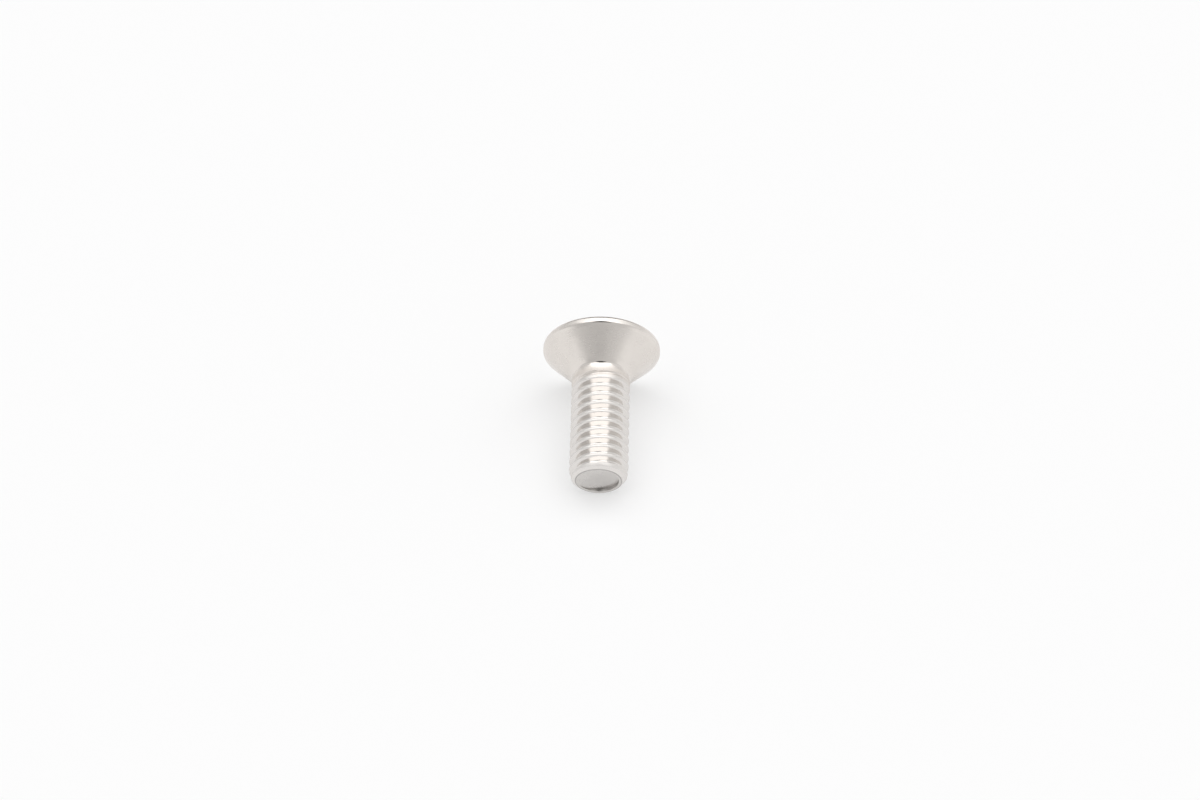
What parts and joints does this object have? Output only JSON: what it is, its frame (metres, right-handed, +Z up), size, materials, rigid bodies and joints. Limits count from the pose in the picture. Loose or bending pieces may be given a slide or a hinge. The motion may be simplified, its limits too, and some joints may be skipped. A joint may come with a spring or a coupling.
{
  "type": "countersunk socket screw",
  "caption": "Countersunk machine screw with a flat head, hexagon socket, right-hand metric thread nearly up to the head and a chamfered point, lying at rest on its head's rim and point.",
  "frame": {"origin": "on the floor, under the middle of the lying screw's box", "axes": "+Y from the point towards the head, +Z up, +X to the right when looking along +Y"},
  "size_m": [0.0118, 0.017, 0.0116],
  "materials": {
    "bright_steel": "bright rolled stainless steel"
  },
  "bodies": {
    "root": {"screw": "bright_steel"}
  },
  "joints": []
}
